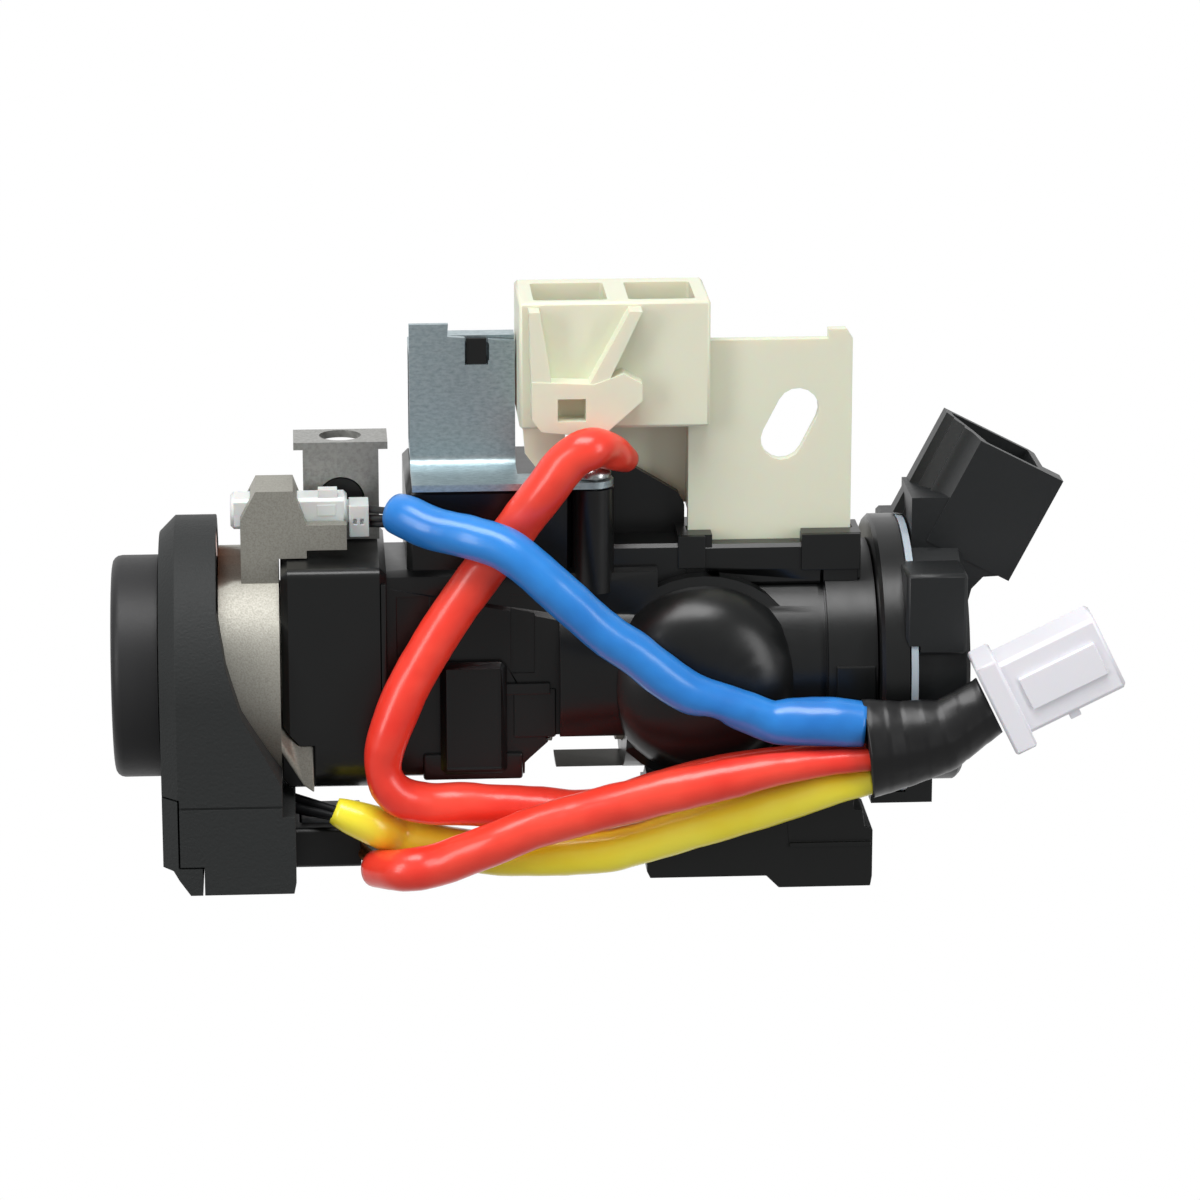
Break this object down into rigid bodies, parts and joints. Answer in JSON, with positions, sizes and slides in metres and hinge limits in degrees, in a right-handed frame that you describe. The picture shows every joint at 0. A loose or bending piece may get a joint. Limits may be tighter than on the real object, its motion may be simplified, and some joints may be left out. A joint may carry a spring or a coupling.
{
  "type": "ignition switch",
  "caption": "Ignition lock and switch: key cylinder, immobiliser ring, steering lock bolt, shift-lock solenoid, bracket and a harness in coloured sleeves.",
  "frame": {"origin": "on the steering column's axis, level with the key axis and the lock bolt", "axes": "+X along the key axis from the key end to the switch end, +Y from the lock to the column, +Z along the steering column"},
  "size_m": [0.1722, 0.0766, 0.1029],
  "materials": {
    "bezel": "smooth matt black",
    "casting": "grainy die casting",
    "cylinder": "satin nickel",
    "antenna_plastic": "fine textured black",
    "winding": "enamelled wire",
    "circuit_board": "lacquered",
    "gloss_plastic": "glossy black",
    "grey_plastic": "matt grey",
    "bolt_steel": "bright",
    "natural_nylon": "translucent white",
    "switch_plastic": "satin black",
    "contact": "tinned brass",
    "plated_sheet": "zinc plated, brushed",
    "spring_steel": "drawn wire",
    "screw": "bright plated",
    "ivory_nylon": "ivory",
    "blue_sleeve": "soft sleeve",
    "red_sleeve": "soft sleeve",
    "yellow_sleeve": "soft sleeve",
    "tape": "wound tape",
    "white_nylon": "moulded white"
  },
  "bodies": {
    "frame": {"key_bezel": "bezel", "cylinder_sleeve": "casting", "antenna_housing": "antenna_plastic", "antenna_cover": "antenna_plastic", "antenna_coil": "winding", "antenna_board": "circuit_board", "antenna_plug": "gloss_plastic", "antenna_plug_lock": "grey_plastic", "lock_body": "casting", "main_housing": "gloss_plastic", "switch_housing": "gloss_plastic", "switch_gasket": "grey_plastic", "switch_base": "switch_plastic", "switch_pin_1": "contact", "switch_pin_2": "contact", "switch_pin_3": "contact", "switch_pin_4": "contact", "switch_pin_5": "contact", "solenoid_yoke": "plated_sheet", "solenoid_top_plate": "plated_sheet", "solenoid_bobbin": "switch_plastic", "solenoid_coil": "winding", "plunger_spring": "spring_steel", "bolt_spring": "spring_steel", "yoke_screw": "screw", "ivory_bracket": "ivory_nylon", "lower_connector": "gloss_plastic", "lower_pin_1": "contact", "lower_pin_2": "contact", "lower_pin_3": "contact", "lug_bracket": "plated_sheet", "lug_screw": "screw", "warning_switch": "natural_nylon", "warning_switch_plug": "natural_nylon", "blue_sleeve": "blue_sleeve", "upper_red_sleeve": "red_sleeve", "lower_red_sleeve": "red_sleeve", "yellow_sleeve": "yellow_sleeve", "tape_wrap": "tape", "harness_plug": "white_nylon"},
    "key": {"key_rotor": "cylinder", "cam_shaft": "casting", "switch_rotor": "natural_nylon"},
    "shutter": {"key_shutter": "cylinder"},
    "bolt": {"lock_bolt": "bolt_steel"},
    "plunger": {"solenoid_plunger": "bolt_steel"}
  },
  "joints": [
    {"name": "key_turn", "type": "hinge", "parent": "frame", "child": "key", "pos_m": [0, -0.042, 0], "axis": [1, 0, 0], "range_deg": [0, 110]},
    {"name": "bolt_slide", "type": "slide", "parent": "frame", "child": "bolt", "axis": [0, -1, 0], "range_m": [0, 0.0066], "deforming": ["bolt_spring"]},
    {"name": "plunger_slide", "type": "slide", "parent": "frame", "child": "plunger", "axis": [0, 0, -1], "range_m": [0, 0.0035], "stiffness_N_per_m": 100, "springref_m": -0.003, "deforming": ["plunger_spring"]},
    {"name": "shutter_swing", "type": "hinge", "parent": "key", "child": "shutter", "pos_m": [-0.098, -0.0443, 0], "axis": [0, 0, -1], "range_deg": [0, 75], "stiffness_Nm_per_rad": 0.0005, "springref_deg": -17.19}
  ],
  "couplings": [
    {"joint": "bolt_slide", "follows": "key_turn", "m_per_rad": 0.0033857}
  ]
}
